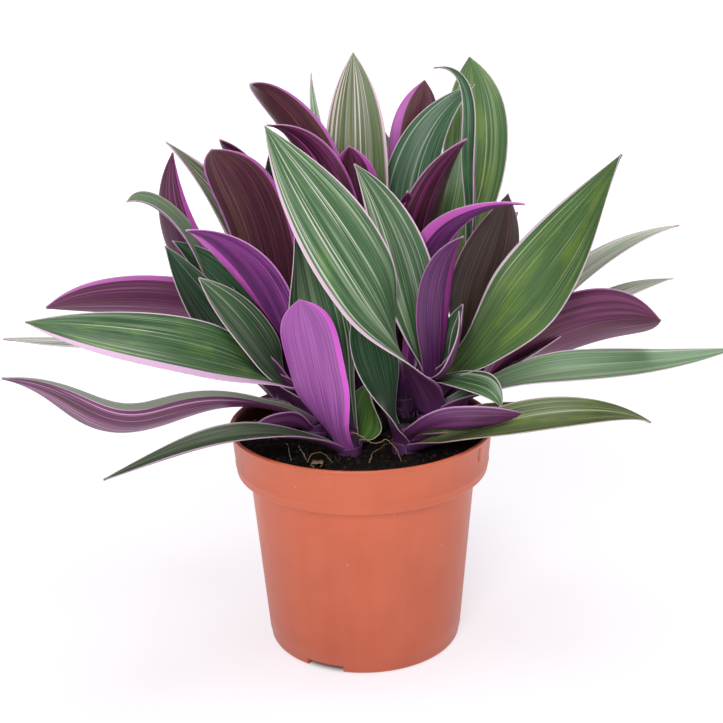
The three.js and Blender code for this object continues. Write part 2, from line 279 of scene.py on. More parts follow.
# The outline runs from the foot ring up the outside, over the lip and down the inside to the
# floor, and ends with the middle foot: (radius, height) in mm.
outside = [(41.5, 3), (41.5, 0.3), (41.8, 0), (43.4, 0), (44, 0.3), (44.35, 1), (44.5, 3.9)]
outside += [(44.85, 4.4), (45.05, 4.7)]
outside += [(45.05 + (51.35 - 45.05) * i / 10, 4.7 + 76.1 * i / 10) for i in range(1, 11)]
outside += [(51.7, 81.9), (52.3, 82.4), (54.6, 82.6)] + arc((55.6, 84.3), 1.65, -80, -10, 5)
outside += [(57.35, RIDGE_AT - 0.9), (57.45 + RIDGE, RIDGE_AT - 0.2), (57.5 + RIDGE, RIDGE_AT + 0.2)]
outside += [(57.6, RIDGE_AT + 0.9), (58.2, 94), (58.75, 101.3)]
outside += arc((59.2, 103.2), 0.8, -60, 110, 8)
outside += [(58.5, 103.9)]
inside = [(inner_radius(z) + 0.1, z) for z in (102.6, 98, 92, 87, 84.6)]
inside += [(54.8, 83.6), (51.2, 83.2), (inner_radius(81), 81)]
inside += [(inner_radius(z), z) for z in (60, 40, 20, 7)] + [(42.2, 5), (41, 4.4)]
middle_foot = [(9, 4.4), (0.01, 4.4), (0.01, 0), (8.6, 0), (9, 0.3), (9, 3)]
pot_outline = outside + inside + middle_foot

notch_half = NOTCH_WIDTH / 2 / FOOT_RADIUS
notch_angles = [math.radians(NOTCH_FIRST + 360 / NOTCHES * i) % math.tau for i in range(NOTCHES)]


def off_notch(angle):
    """How far an angle is from the middle of the nearest notch, in radians."""
    return min(abs((angle - a + math.pi) % math.tau - math.pi) for a in notch_angles)


def over_notch(angle, height):
    """The height of a point of the foot ring, in mm, lifted where a notch is."""
    return max(height, NOTCH_HEIGHT) if off_notch(angle) < notch_half else height


# Each side of a notch is a near-upright step, and the middle foot has no notches.
pot_angles = [math.tau * i / POT_STEPS for i in range(POT_STEPS)]
for middle in notch_angles:
    pot_angles += [middle + side * (notch_half + step) for side in (-1, 1)
                   for step in (-NOTCH_EDGE, NOTCH_EDGE)]
pot_angles = sorted(a % math.tau for a in pot_angles)
pot = lathe("pot_body", pot_outline, pot_angles)
for number, point in enumerate(pot.data.vertices):
    if number % len(pot_outline) < len(outside) + len(inside):
        turn = math.atan2(point.co.y, point.co.x) % math.tau
        point.co.z = over_notch(turn, point.co.z / MM) * MM
welded(pot, 0.000003)
for i in range(HOLES):
    angle = math.radians(HOLE_FIRST + 360 / HOLES * i)
    cut(pot, round_bar("hole", HOLE_RING * math.cos(angle), HOLE_RING * math.sin(angle), 1, 6,
                       HOLE_RADIUS))
slit_bar = mesh_object(
    "slit", [(x * MM, y * MM, z * MM) for x in SLIT_REACH for y in (-SLIT_WIDTH / 2, SLIT_WIDTH / 2)
             for z in (SLIT_FOOT, SLIT_FOOT + SLIT_HEIGHT)],
    [(0, 1, 3, 2), (4, 6, 7, 5), (0, 4, 5, 1), (2, 3, 7, 6), (0, 2, 6, 4), (1, 5, 7, 3)])
slit_bar.data.transform(Matrix.Rotation(math.radians(SLIT_ANGLE), 4, "Z"))
cut(pot, welded(slit_bar))
pot.data.polygons.foreach_set("use_smooth", [True] * len(pot.data.polygons))

# Moulded polypropylene: a soft satin gloss on a fine spark-eroded grain, clouds of slightly
# uneven pigment, painted shade that darkens the colour towards the foot, faint scuffs and pale
# flecks from stacking, and painted shade on the inner wall of the collar.
polypropylene, tree, shader = new_material("polypropylene_terracotta")
spot = node(tree, "TexCoord").outputs["Object"]
clouds = node(tree, "TexNoise", {"Vector": spot, "Scale": 1 / (CLOUD_SIZE * MM), "Detail": 4})
flow = node(tree, "Mapping", {0: spot, 3: [1 / (size * MM) for size in STREAK_SIZE]})
streaks = node(tree, "TexNoise", {"Vector": flow.outputs[0], "Scale": 1, "Detail": 5})
grain = node(tree, "TexNoise", {"Vector": spot, "Scale": 1 / (GRAIN_SIZE * MM), "Detail": 2})
scratch_way = node(tree, "Mapping", {0: spot, 2: (0.3, 0.9, 0.2),
                                     3: [1 / (size * MM) for size in SCRATCH_SIZE]})
scratches = node(tree, "TexNoise", {"Vector": scratch_way.outputs[0], "Scale": 1, "Detail": 3})
scuffed = node(tree, "MapRange", {0: scratches.outputs[0], 1: 0.68, 2: 0.76})
scuff_here = node(tree, "MapRange", {0: clouds.outputs[0], 1: 0.5, 2: 0.7})
scuff = node(tree, "Math", {0: scuffed.outputs[0], 1: scuff_here.outputs[0]}, operation="MULTIPLY")
height = node(tree, "SeparateXYZ", {0: spot}).outputs[2]
# Painted shade: the pot's colour darkens steadily from 75 mm height down to the foot, on top of the
# random pigment clouds.
paler = node(tree, "MapRange", {0: height, 1: 0, 2: PAINTED_SHADE_TOP * MM, 3: -0.3, 4: 0.4}).outputs[0]
pigment_and_painted_shade = node(tree, "Math", {0: clouds.outputs[0], 1: paler}, operation="ADD", use_clamp=True)
cloudy_and_shaded = node(tree, "Mix", {0: pigment_and_painted_shade.outputs[0], 6: linear(TERRACOTTA_DEEP_AND_SHADED),
                            7: linear(TERRACOTTA)}, data_type="RGBA")
streaky = node(tree, "MapRange", {0: streaks.outputs[0], 1: 0.35, 2: 0.75, 3: 0, 4: 0.1})
lighter = node(tree, "Mix", {0: streaky.outputs[0], 6: cloudy_and_shaded.outputs[2], 7: linear(TERRACOTTA_PALE)},
               data_type="RGBA")
cells = node(tree, "TexVoronoi", {"Vector": spot, "Scale": 1 / (FLECK_SPACING * MM)})
near = node(tree, "MapRange", {0: cells.outputs["Distance"], 1: 0.07, 2: 0.04})
chance = node(tree, "SeparateColor", {0: cells.outputs["Color"]}).outputs[0]
chosen = node(tree, "MapRange", {0: chance, 1: 0.78, 2: 0.82})
fleck = node(tree, "Math", {0: near.outputs[0], 1: chosen.outputs[0]}, operation="MULTIPLY")
worn = node(tree, "Math", {0: scuff.outputs[0], 1: 0.35, 2: fleck.outputs[0]},
            operation="MULTIPLY_ADD", use_clamp=True)
final = node(tree, "Mix", {0: worn.outputs[0], 6: lighter.outputs[2], 7: linear(TERRACOTTA_PALE)},
             data_type="RGBA")
# Painted shade: the inner wall of the collar is darkened almost to black-brown above 84–88 mm.
level_spot = node(tree, "VectorMath", {0: spot, 1: (1, 1, 0)}, operation="MULTIPLY").outputs[0]
from_axis = node(tree, "VectorMath", {0: level_spot}, operation="LENGTH").outputs["Value"]
upright = node(tree, "Math", {0: height, 1: -0.07, 2: from_axis}, operation="MULTIPLY_ADD").outputs[0]
inner_face = node(tree, "MapRange", {0: upright, 1: 51 * MM, 2: 50.7 * MM, 3: 0, 4: 0.85}).outputs[0]
inner_painted_shade = node(tree, "MapRange", {0: height, 1: INNER_SHADE_HEIGHTS[0] * MM, 2: INNER_SHADE_HEIGHTS[1] * MM,
                                      3: 0, 4: inner_face}).outputs[0]
painted = node(tree, "Mix", {0: inner_painted_shade, 6: final.outputs[2], 7: linear(INNER_PAINTED_SHADE)},
               data_type="RGBA")
tree.links.new(painted.outputs[2], shader.inputs["Base Color"])
gloss = node(tree, "MapRange", {0: streaks.outputs[0], 1: 0.3, 2: 0.7, 3: 0.36, 4: 0.48})
dull = node(tree, "Math", {0: gloss.outputs[0], 1: scuff.outputs[0]}, operation="ADD", use_clamp=True)
tree.links.new(dull.outputs[0], shader.inputs["Roughness"])
shader.inputs["IOR"].default_value = POLYPROPYLENE_IOR
fine = node(tree, "Bump", {"Strength": 0.12, "Distance": 0.1 * MM, "Height": grain.outputs[0]})
wavy = node(tree, "Bump", {"Strength": 0.25, "Distance": 0.3 * MM, "Height": clouds.outputs[0],
                           "Normal": fine.outputs[0]})
tree.links.new(wavy.outputs[0], shader.inputs["Normal"])
pot.data.materials.clear()
pot.data.materials.append(polypropylene)
fitted(pot, "pot", "pot")

# ------------------------------------------------------------- potting mix
# The pot is filled to 10 mm below its rim with dark, damp peat and bark: an uneven mound
# with loose crumbs on it, dead root threads and a dry curled scrap of an old leaf sheath.
SOIL_LEVEL = 94
SOIL_RADIUS = 55
SOIL_GAP = 0.4
SOIL_CROWN = 1.5
SOIL_RELIEF = 1.3
SOIL_GRIT = 0.22
SOIL_WAVES = 26
SOIL_RINGS = 46
SOIL_STEPS = 150
CRUMBS = 1500
CRUMB_FIELD = 54.5
CRUMB_LEVELS = (-0.9, -0.3, 0.4, 0.95)
CRUMB_SIDES = 6
LUMP_SIZE = 3
SPECK_SIZE = 1.5
PEAT = "17100C"
PEAT_DARK = "080504"
PEAT_LIGHT = "4A3526"
rng = np.random.default_rng(7)
waves = [(rng.uniform(0.05, 0.9), rng.uniform(0, math.tau), rng.uniform(0, math.tau))
         for _ in range(SOIL_WAVES)]


def soil_height(x, y):
    """Height of the soil's surface above its level, in mm: a low mound with lumps on it."""
    mound = SOIL_CROWN * (1 - (x * x + y * y) / SOIL_RADIUS ** 2)
    lumps = sum(math.sin(w * (x * math.cos(t) + y * math.sin(t)) + p) / (1 + 3 * w)
                for w, t, p in waves)
    return mound + SOIL_RELIEF * 0.35 * lumps


soil_points, soil_faces = [], []
for ring in range(SOIL_RINGS):
    radius = SOIL_GAP + (inner_radius(SOIL_LEVEL - 1) - SOIL_GAP - SOIL_GAP) * ring / (SOIL_RINGS - 1)
    for step in range(SOIL_STEPS):
        angle = math.tau * step / SOIL_STEPS
        x, y = radius * math.cos(angle), radius * math.sin(angle)
        edge_drop = max(0, ring - SOIL_RINGS + 3) * 0.5
        height = SOIL_LEVEL + soil_height(x, y) + rng.normal(0, SOIL_GRIT) - edge_drop
        soil_points.append((x * MM, y * MM, height * MM))
lower = [(inner_radius(z) - SOIL_GAP, z) for z in (88, 84.5)] + [(50.6, 83.4)]
lower += [(inner_radius(z) - SOIL_GAP, z) for z in (78, 50, 20, 8)]
lower += [(38, 5), (20, 4.9), (0.4, 4.9)]
for radius, height in lower:
    for step in range(SOIL_STEPS):
        angle = math.tau * step / SOIL_STEPS
        soil_points.append((radius * MM * math.cos(angle), radius * MM * math.sin(angle), height * MM))
for ring in range(SOIL_RINGS + len(lower) - 1):
    for step in range(SOIL_STEPS):
        a, b = ring * SOIL_STEPS + step, ring * SOIL_STEPS + (step + 1) % SOIL_STEPS
        soil_faces.append((a, b, b + SOIL_STEPS, a + SOIL_STEPS))
last_ring = (SOIL_RINGS + len(lower) - 1) * SOIL_STEPS
soil_faces += [list(range(SOIL_STEPS))[::-1], [last_ring + i for i in range(SOIL_STEPS)]]
soil = welded(mesh_object("potting_mix_bed", soil_points, soil_faces), 0.000002)

crumb_points, crumb_faces = [], []
for _ in range(CRUMBS):
    radius, angle = CRUMB_FIELD * math.sqrt(rng.uniform()), rng.uniform(0, math.tau)
    x, y = radius * math.cos(angle), radius * math.sin(angle)
    size = 0.4 + 1.1 * rng.uniform() ** 2.5
    middle = np.array([x, y, SOIL_LEVEL + soil_height(x, y) + size * 0.3])
    start = len(crumb_points)
    stretch = rng.uniform(0.6, 1.5, 3)
    for level in CRUMB_LEVELS:
        for turn in range(CRUMB_SIDES):
            angle = math.tau * (turn + 0.5 * (level > 0)) / CRUMB_SIDES
            flat = math.sqrt(max(0.05, 1 - level * level))
            way = np.array([flat * math.cos(angle), flat * math.sin(angle), level])
            spot = middle + way * stretch * size * rng.uniform(0.75, 1.15)
            crumb_points.append(tuple(spot * MM))
    for band in range(start, len(crumb_points) - CRUMB_SIDES, CRUMB_SIDES):
        for turn in range(CRUMB_SIDES):
            a, b = band + turn, band + (turn + 1) % CRUMB_SIDES
            crumb_faces.append((a, b, b + CRUMB_SIDES, a + CRUMB_SIDES))
    crumb_faces.append([start + i for i in range(CRUMB_SIDES)][::-1])
    crumb_faces.append([len(crumb_points) - CRUMB_SIDES + i for i in range(CRUMB_SIDES)])
crumbs = mesh_object("potting_mix_crumbs", crumb_points, crumb_faces, smooth=False)

# Damp peat, dark and matt, with paler dry specks about 1.5 mm across and a rough bump.
peat, tree, shader = new_material("peat")
spot = node(tree, "TexCoord").outputs["Object"]
lumps = node(tree, "TexNoise", {"Vector": spot, "Scale": 1 / (LUMP_SIZE * MM), "Detail": 6,
                                "Roughness": 0.7})
specks = node(tree, "TexVoronoi", {"Vector": spot, "Scale": 1 / (SPECK_SIZE * MM)})
dry = node(tree, "SeparateColor", {0: specks.outputs["Color"]})
dry_here = node(tree, "MapRange", {0: dry.outputs[0], 1: 0.86, 2: 0.97, 3: 0, 4: 0.8})
ground = node(tree, "Mix", {0: lumps.outputs[0], 6: linear(PEAT_DARK), 7: linear(PEAT)},
              data_type="RGBA")
speckled = node(tree, "Mix", {0: dry_here.outputs[0], 6: ground.outputs[2], 7: linear(PEAT_LIGHT)},
                data_type="RGBA")
tree.links.new(speckled.outputs[2], shader.inputs["Base Color"])
damp = node(tree, "MapRange", {0: lumps.outputs[0], 1: 0.3, 2: 0.7, 3: 0.6, 4: 0.95})
tree.links.new(damp.outputs[0], shader.inputs["Roughness"])
shader.inputs["Specular IOR Level"].default_value = 0.25
rough = node(tree, "Bump", {"Strength": 0.8, "Distance": 0.8 * MM, "Height": lumps.outputs[0]})
tree.links.new(rough.outputs[0], shader.inputs["Normal"])
soil.data.materials.append(peat)
crumbs.data.materials.append(peat)
fitted(soil, "potting_mix", "potting_mix")
fitted(crumbs, "potting_mix", "potting_mix")

# ------------------------------------------------------------ root threads
# Dead roots and straw lie loose on the soil: thin, dry, tan or almost white fibres about
# 0.5 mm thick, and one curled scrap of old sheath near the front of the rim. Each thread has
# its radius, colour and route: x and y from the axis, and height above the soil, in mm.
STRAW = "B89A6A"
DRY_CREAM = "D9C9A8"
DRY_WHITE = "E4DED2"
DRY_TAN = "A98A5C"
THREADS = (
    ("root_thread_long", 0.32, STRAW,
     ((-5, -21, 10), (-4, -22, 11.5), (0, -24, 10.5), (4.5, -27, 8.5), (8, -28, 8.8),
      (11, -28, 10), (15, -30, 7), (17, -32, 1.5))),
    ("root_thread_low", 0.22, STRAW,
     ((3, -30, 1), (5, -25, 2.5), (8, -20, 3), (10, -14, 2), (13, -9, 1))),
    ("root_thread_side", 0.25, DRY_CREAM,
     ((-57, 8, -0.5), (-55, 12, 2), (-53, 17, 1), (-50, 20, 3), (-47, 20, 1))),
    ("root_thread_pale", 0.18, DRY_WHITE,
     ((-34, -9, 3), (-33, -14, 4), (-32, -20, 2), (-31, -27, 1))),
    ("root_thread_white", 0.18, DRY_WHITE,
     ((-28, -9, 2), (-28, -15, 3.5), (-26, -21, 2), (-24, -27, 0.5))),
    ("root_thread_bent", 0.25, DRY_TAN,
     ((-24, -28, 1), (-22, -25, 2.5), (-18, -24, 3), (-15, -27, 2), (-13, -31, 1))),
)


def dry_fibre(name, colour):
    """Dry plant fibre: matt, unevenly browned along its length."""
    material, tree, shader = new_material(name)
    spot = node(tree, "TexCoord").outputs["Object"]
    brown = node(tree, "TexNoise", {"Vector": spot, "Scale": 1 / (2.5 * MM), "Detail": 4})
    dark = [c * 0.45 for c in linear(colour)[:3]] + [1]
    tone = node(tree, "Mix", {0: brown.outputs[0], 6: dark, 7: linear(colour)}, data_type="RGBA")
    tree.links.new(tone.outputs[2], shader.inputs["Base Color"])
    shader.inputs["Roughness"].default_value = 0.85
    bump = node(tree, "Bump", {"Strength": 0.5, "Distance": 0.2 * MM, "Height": brown.outputs[0]})
    tree.links.new(bump.outputs[0], shader.inputs["Normal"])
    return material


def smooth_route(points, steps):
    """Points along a smooth curve through the given ones."""
    route, last = [], len(points) - 1
    for i in range(last):
        before, start = np.array(points[max(i - 1, 0)], float), np.array(points[i], float)
        end, after = np.array(points[i + 1], float), np.array(points[min(i + 2, last)], float)
        for k in range(steps):
            t = k / steps
            route.append(0.5 * (2 * start + (end - before) * t
                                + (2 * before - 5 * start + 4 * end - after) * t ** 2
                                + (3 * start - before - 3 * end + after) * t ** 3))
    return route + [np.array(points[-1], float)]


def tube(name, route, radii, sides=8):
    """A round tube along a route in mm, closed at both ends."""
    route = [np.array(p, float) for p in route]
    points, faces = [], []
    for i, here in enumerate(route):
        ahead = route[min(i + 1, len(route) - 1)] - route[max(i - 1, 0)]
        ahead /= np.linalg.norm(ahead)
        flat = np.cross(ahead, (0.31, 0.22, 0.93))
        flat /= np.linalg.norm(flat)
        lift = np.cross(flat, ahead)
        for k in range(sides):
            angle = math.tau * k / sides
            points.append((here + radii[i] * (flat * math.cos(angle) + lift * math.sin(angle))) * MM)
    for i in range(len(route) - 1):
        for k in range(sides):
            a, b = i * sides + k, i * sides + (k + 1) % sides
            faces.append((a, b, b + sides, a + sides))
    last = (len(route) - 1) * sides
    faces += [list(range(sides))[::-1], [last + k for k in range(sides)]]
    return welded(mesh_object(name, points, faces), 0.000001)


for name, radius, colour, knots in THREADS:
    route = smooth_route([(x, y, SOIL_LEVEL + soil_height(x, y) + z) for x, y, z in knots], 7)
    route = [p + rng.normal(0, 0.12, 3) for p in route]
    taper = [radius * (1 - 0.6 * i / len(route)) for i in range(len(route))]
    thread = tube(name, route, taper)
    thread.data.materials.append(dry_fibre("dry_root_" + name.split("_")[-1], colour))
    fitted(thread, "potting_mix")

# The scrap is a strip up to 4 mm wide, rolled into a loose hoop, papery and torn at its ends.
SCRAP_AT = (-19.5, -31)
SCRAP_RADIUS = 2.3
SCRAP_HALF = 2.5
SCRAP_STEPS = 24
SCRAP_SIDES = (-1, -0.4, 0.3, 1)
SCRAP_THICKNESS = 0.3
SCRAP_BROWN = "B08E6C"
scrap_points, scrap_faces = [], []
for i in range(SCRAP_STEPS + 1):
    angle = math.radians(-30 + 250 * i / SCRAP_STEPS)
    radius = SCRAP_RADIUS * (1 + 0.25 * math.sin(3 * angle))
    half = SCRAP_HALF * (0.55 + 0.45 * math.sin(math.pi * (i + 2) / (SCRAP_STEPS + 4)))
    for side in SCRAP_SIDES:
        x = SCRAP_AT[0] + radius * math.cos(angle) + 0.3 * side
        y = SCRAP_AT[1] + side * half * 0.8
        z = SOIL_LEVEL + 1.6 + radius * math.sin(angle) * 0.8 + rng.uniform(-0.2, 0.2)
        scrap_points.append((x * MM, y * MM, z * MM))
columns = len(SCRAP_SIDES)
for i in range(SCRAP_STEPS):
    for k in range(columns - 1):
        a = i * columns + k
        scrap_faces.append((a, a + 1, a + columns + 1, a + columns))
scrap = mesh_object("dry_sheath_scrap", scrap_points, scrap_faces)
thicker = scrap.modifiers.new("thickness", "SOLIDIFY")
thicker.thickness = SCRAP_THICKNESS * MM
scrap.data.materials.append(dry_fibre("dry_sheath", SCRAP_BROWN))
fitted(scrap, "potting_mix")

# ------------------------------------------------------------- leaf finish
# A boat lily's leaf is fleshy, about 1 mm thick, striped lengthwise green, grey-green and
# cream above, purple below, with a pink or cream margin. Its veins run side by side from
# sheath to tip, and its skin has a soft waxy gloss. Each pattern below has its spacing and
# length in mm, the detail of its noise and a shift that keeps it apart from the others.
VEINS = (0.7, 70, 2, 3.1)
PATCHES = (11, 34, 3, 5.9)
BANDS = (4.2, 120, 1, 1.3)
SHADES = (2.4, 90, 1, 9.4)
LINES = (1.15, 170, 1, 7.7)
HAIRS = (0.42, 60, 0, 4.6)
SHEATH_REACH = 0.11
SEED_SHIFT = 83
LEAF_IOR = 1.45


def leaf_skin(name, base, vein, band, line, margin, edge, sheath, bands, lines, patch, patches):
    """Leaf skin: base colour, fine veins, patches, broad bands, narrow lines, a margin, the
    sheath's tone at the foot and a thin paler edge. Bands, lines and patches have a share."""
    material, tree, shader = new_material(name)
    flat = node(tree, "SeparateXYZ", {0: node(tree, "UVMap", uv_map="leaf").outputs[0]})
    seed, rim, reach, border = (node(tree, "Attribute", attribute_name=label).outputs["Fac"]
                                for label in ("seed", "rim", "reach", "border"))
    offset = node(tree, "Math", {0: seed, 1: SEED_SHIFT}, operation="MULTIPLY").outputs[0]

    def stripes(spacing, length, detail, shift):
        """Noise drawn out along the leaf, with its spacing and length in mm."""
        across = node(tree, "Math", {0: flat.outputs[0], 1: 1 / spacing, 2: offset},
                      operation="MULTIPLY_ADD").outputs[0]
        down = node(tree, "Math", {0: flat.outputs[1], 1: 1 / length}, operation="MULTIPLY").outputs[0]
        where = node(tree, "CombineXYZ", {0: across, 1: down, 2: shift}).outputs[0]
        return node(tree, "TexNoise", {"Vector": where, "Scale": 1, "Detail": detail,
                                       "Roughness": 0.6}).outputs[0]

    def laid(over, colour, mask, low, high, share):
        """The colour laid over what is there, where the mask runs from low to high."""
        amount = node(tree, "MapRange", {0: mask, 1: low, 2: high, 3: 0, 4: share},
                      interpolation_type="SMOOTHSTEP").outputs[0]
        return node(tree, "Mix", {0: amount, 6: over, 7: linear(colour)}, data_type="RGBA").outputs[2]

    veins = stripes(*VEINS)
    skin = laid(linear(base), vein, veins, 0.36, 0.64, 1)
    skin = laid(skin, patch, stripes(*PATCHES), 0.62 - 0.3 * patches, 0.85 - 0.3 * patches, 0.8)
    skin = laid(skin, band, stripes(*BANDS), 0.7 - 0.35 * bands, 0.82 - 0.35 * bands, 0.6)
    skin = laid(skin, base, stripes(*SHADES), 0.55, 0.72, 0.6)
    skin = laid(skin, line, stripes(*LINES), 0.75 - 0.3 * lines, 0.82 - 0.3 * lines, 0.8)
    skin = laid(skin, line, stripes(*HAIRS), 0.56, 0.75, 0.3)
    ragged = node(tree, "Math", {0: veins, 1: 0.35, 2: rim}, operation="MULTIPLY_ADD").outputs[0]
    skin = laid(skin, margin, ragged, 1.25, 1.1, 0.95)
    skin = laid(skin, sheath, reach, SHEATH_REACH, 0.01, 0.9)
    skin = laid(skin, edge, border, 0.5, 0.3, 0.55)
    tree.links.new(skin, shader.inputs["Base Color"])
    gloss = node(tree, "MapRange", {0: veins, 1: 0.3, 2: 0.7, 3: 0.34, 4: 0.46}).outputs[0]
    tree.links.new(gloss, shader.inputs["Roughness"])
    shader.inputs["IOR"].default_value = LEAF_IOR
    ribs = node(tree, "Bump", {"Strength": 0.35, "Distance": 0.25 * MM, "Height": veins}).outputs[0]
    tree.links.new(ribs, shader.inputs["Normal"])
    return material


# Green and cream skins are for upper faces, and purple ones for undersides. Each has the colours
# of base, vein, band, line, margin, edge and sheath, the shares of bands and of lines, and the
# colour and share of its patches.
SKINS = {
    "striped": leaf_skin("leaf_green_striped", "335638", "4E7446", "93AB88", "DDE3D0", "ECC8E0",
                         "DDCFCE", "7B4A80", 0.4, 0.4, "5E8A3E", 0.2),
    "green": leaf_skin("leaf_green_plain", "2B4C2C", "41683A", "6C8A60", "C3D0B2", "EBBFE6",
                       "D0BFC0", "6E3E7C", 0.25, 0.3, "6B9038", 0.5),
    "deep": leaf_skin("leaf_green_deep", "2A4A30", "3C6444", "547858", "A8BCA6", "CDBDC6",
                      "C6BABC", "5A3566", 0.2, 0.3, "477242", 0.3),
    "dim": leaf_skin("leaf_green_dim", "2C3A24", "3F5234", "5E7350", "8F9A80", "A898A0",
                     "A098A0", "5A3566", 0.2, 0.3, "3E4C2A", 0.3),
    "fresh": leaf_skin("leaf_green_fresh", "3F682B", "5B8436", "86A656", "BFCF98", "DDD2C4",
                       "CEC6B8", "7B4A80", 0.3, 0.3, "7E9F40", 0.4),
    "lime": leaf_skin("leaf_green_lime", "42623A", "587C42", "78945A", "C2CE9E", "DDC4D4",
                      "CCC0BE", "6E3E7C", 0.25, 0.25, "6E8C3A", 0.5),
    "olive": leaf_skin("leaf_green_olive", "404F2C", "5A6C38", "80905A", "BCC29A", "B9A49A",
                       "A9A090", "6A3A62", 0.3, 0.35, "74803A", 0.4),
    "grey": leaf_skin("leaf_green_grey", "648662", "80A078", "A2B894", "CDD8C4", "EBC8E0",
                      "DDCFD2", "8A5A90", 0.35, 0.35, "6A9056", 0.35),
    "pale": leaf_skin("leaf_cream_striped", "6E8468", "93A688", "CFD0C0", "EBDFE2", "EFCDE2",
                      "E6DAD6", "9A6AA0", 0.8, 0.6, "8FA173", 0.3),
    "cream": leaf_skin("leaf_cream_green", "4A5F3B", "66774C", "9C9B88", "E8D4D4", "EDC6DE",
                       "E2CED4", "9A6AA0", 0.6, 0.55, "7A7A48", 0.4),
    "violet": leaf_skin("leaf_purple_violet", "52264E", "6A3566", "84467C", "AC62A4", "BC62BA",
                        "BE96B8", "6A3A72", 0.35, 0.25, "522648", 0.4),
    "mauve": leaf_skin("leaf_purple_mauve", "552044", "6E3058", "8A4A70", "B070A0", "BC5CB4",
                       "C49AB8", "7A3F78", 0.35, 0.3, "5A3338", 0.5),
    "lilac": leaf_skin("leaf_purple_lilac", "8E4A92", "AC62B0", "BA68BE", "6E3274", "DE5CD6",
                       "CF86CF", "8E4596", 0.4, 0.4, "A04FA4", 0.4),
    "dusky": leaf_skin("leaf_purple_dusky", "52234A", "6A3656", "90567E", "D4A2CC", "7C8A74",
                       "A090A0", "7A3F78", 0.4, 0.4, "4C3230", 0.5),
    "maroon": leaf_skin("leaf_purple_maroon", "472031", "5C2F3A", "6A4234", "A0507E", "C864C2",
                        "B683AA", "5A2F63", 0.4, 0.28, "5C3A36", 0.55),
    "brown": leaf_skin("leaf_purple_brown", "200D05", "2D180B", "402812", "74485A", "A04E96",
                       "B09098", "5A2F63", 0.35, 0.28, "2C150C", 0.5),
    "plum": leaf_skin("leaf_purple_plum", "380F26", "4E1A34", "7E2864", "BC54A4", "BE4CB2",
                      "C890BC", "6A3468", 0.36, 0.36, "48242E", 0.45),
    "magenta": leaf_skin("leaf_purple_magenta", "5A2464", "7E3680", "9C429A", "CE66C8", "E06AD4",
                         "D08CC8", "7A3F88", 0.45, 0.36, "46224E", 0.45),
    "ember": leaf_skin("leaf_purple_ember", "4E2156", "62295F", "78347A", "A85AA4", "9A2E8C",
                       "A87AA4", "6A3A72", 0.35, 0.25, "452050", 0.4),
}
# Stems and old sheaths are a streaky violet, with no bright margin.
sheath_skin = leaf_skin("leaf_sheath_violet", "4E2A50", "6A3A6C", "805084", "9A6A9C", "6E4A70",
                        "72507A", "6A3A72", 0.3, 0.15, "40283A", 0.5)

# ------------------------------------------------------------------ leaves
# Each shoot is a rosette of stiff sword-shaped leaves round a short stem that stands in the
# potting mix. A leaf's foot wraps the stem as a half tube, opens into a channel and then into
# a blade that narrows to a point.
LEAF_THICKNESS = 1.1
RIM_THICKNESS = 0.35
SHEATH_SHARE = 0.5
BROADEST_AT = 0.45
SHEATH_CURL = 90
SHEATH_END = 0.22
SHEATH_OFFSET = 3
STATIONS = 56
ACROSS = np.sin(np.linspace(-math.pi / 2, math.pi / 2, 17))
STEM_RADIUS = 4.6
STEM_TAPER = 0.8
STEM_SINK = 7
STEM_RISE = 5
WRAP_STEP = 4
WRAP_GAP = 0.5
WRAP_THICKNESS = 0.45
WRAP_HALF_TURN = 175
WRAP_OPENS = 25
GROOVE_DEPTH = 0.35
TIP_THINS_FROM = 0.7
TIP_THINNING = 0.45
TIP_HALF = 0.25
SHARP = 2.2
BLUNT = 3.5
ROUND = 6


def leaf(base, azimuth, rise, length, width, turn, fold, upper, under, left=0.5, right=0.5,
         point=SHARP):
    """One leaf: its foot's height above the soil, then its azimuths and rises in degrees, spaced
    evenly from foot to tip, its length and width, how far its blade turns and folds, the
    finishes of its two faces and the widths of its margins. Lengths are in mm."""
    return dict(base=base, azimuth=azimuth, rise=rise, length=length, width=width, turn=turn,
                fold=fold, upper=upper, under=under, margins=(left, right), point=point)


def marked(piece, across, down, border, seed, rim=None, reach=None):
    """Gives a leaf piece its flat map in mm and the values that its skin is painted with."""
    full = np.full(len(across), 1.0)
    values = {"seed": full * seed, "rim": full * 9 if rim is None else rim,
              "reach": full if reach is None else reach, "border": border}
    for label, data in values.items():
        layer = piece.data.attributes.new(label, "FLOAT", "POINT")
        layer.data.foreach_set("value", data.astype(np.float32))
    uv = piece.data.uv_layers.new(name="leaf")
    corners = np.zeros(len(piece.data.loops), np.int32)
    piece.data.loops.foreach_get("vertex_index", corners)
    uv.data.foreach_set("uv", np.stack([across, down], -1)[corners].ravel().astype(np.float32))
    return piece


def ease(t):
    """A smooth step from 0 to 1."""
    t = np.clip(t, 0, 1)
    return t * t * (3 - 2 * t)


def along(values, share):
    """A smooth value through evenly spaced ones."""
    values = np.asarray(values, float)
    last = len(values) - 1
    at = np.clip(share, 0, 1) * last
    i = np.minimum(at.astype(int), last - 1)
    t = at - i
    slope = np.gradient(values)
    a, b = values[i], values[i + 1]
    p, q = slope[i], slope[i + 1]
    rise = 3 * t ** 2 - 2 * t ** 3
    return a + (b - a) * rise + p * (t ** 3 - 2 * t ** 2 + t) + q * (t ** 3 - t ** 2)


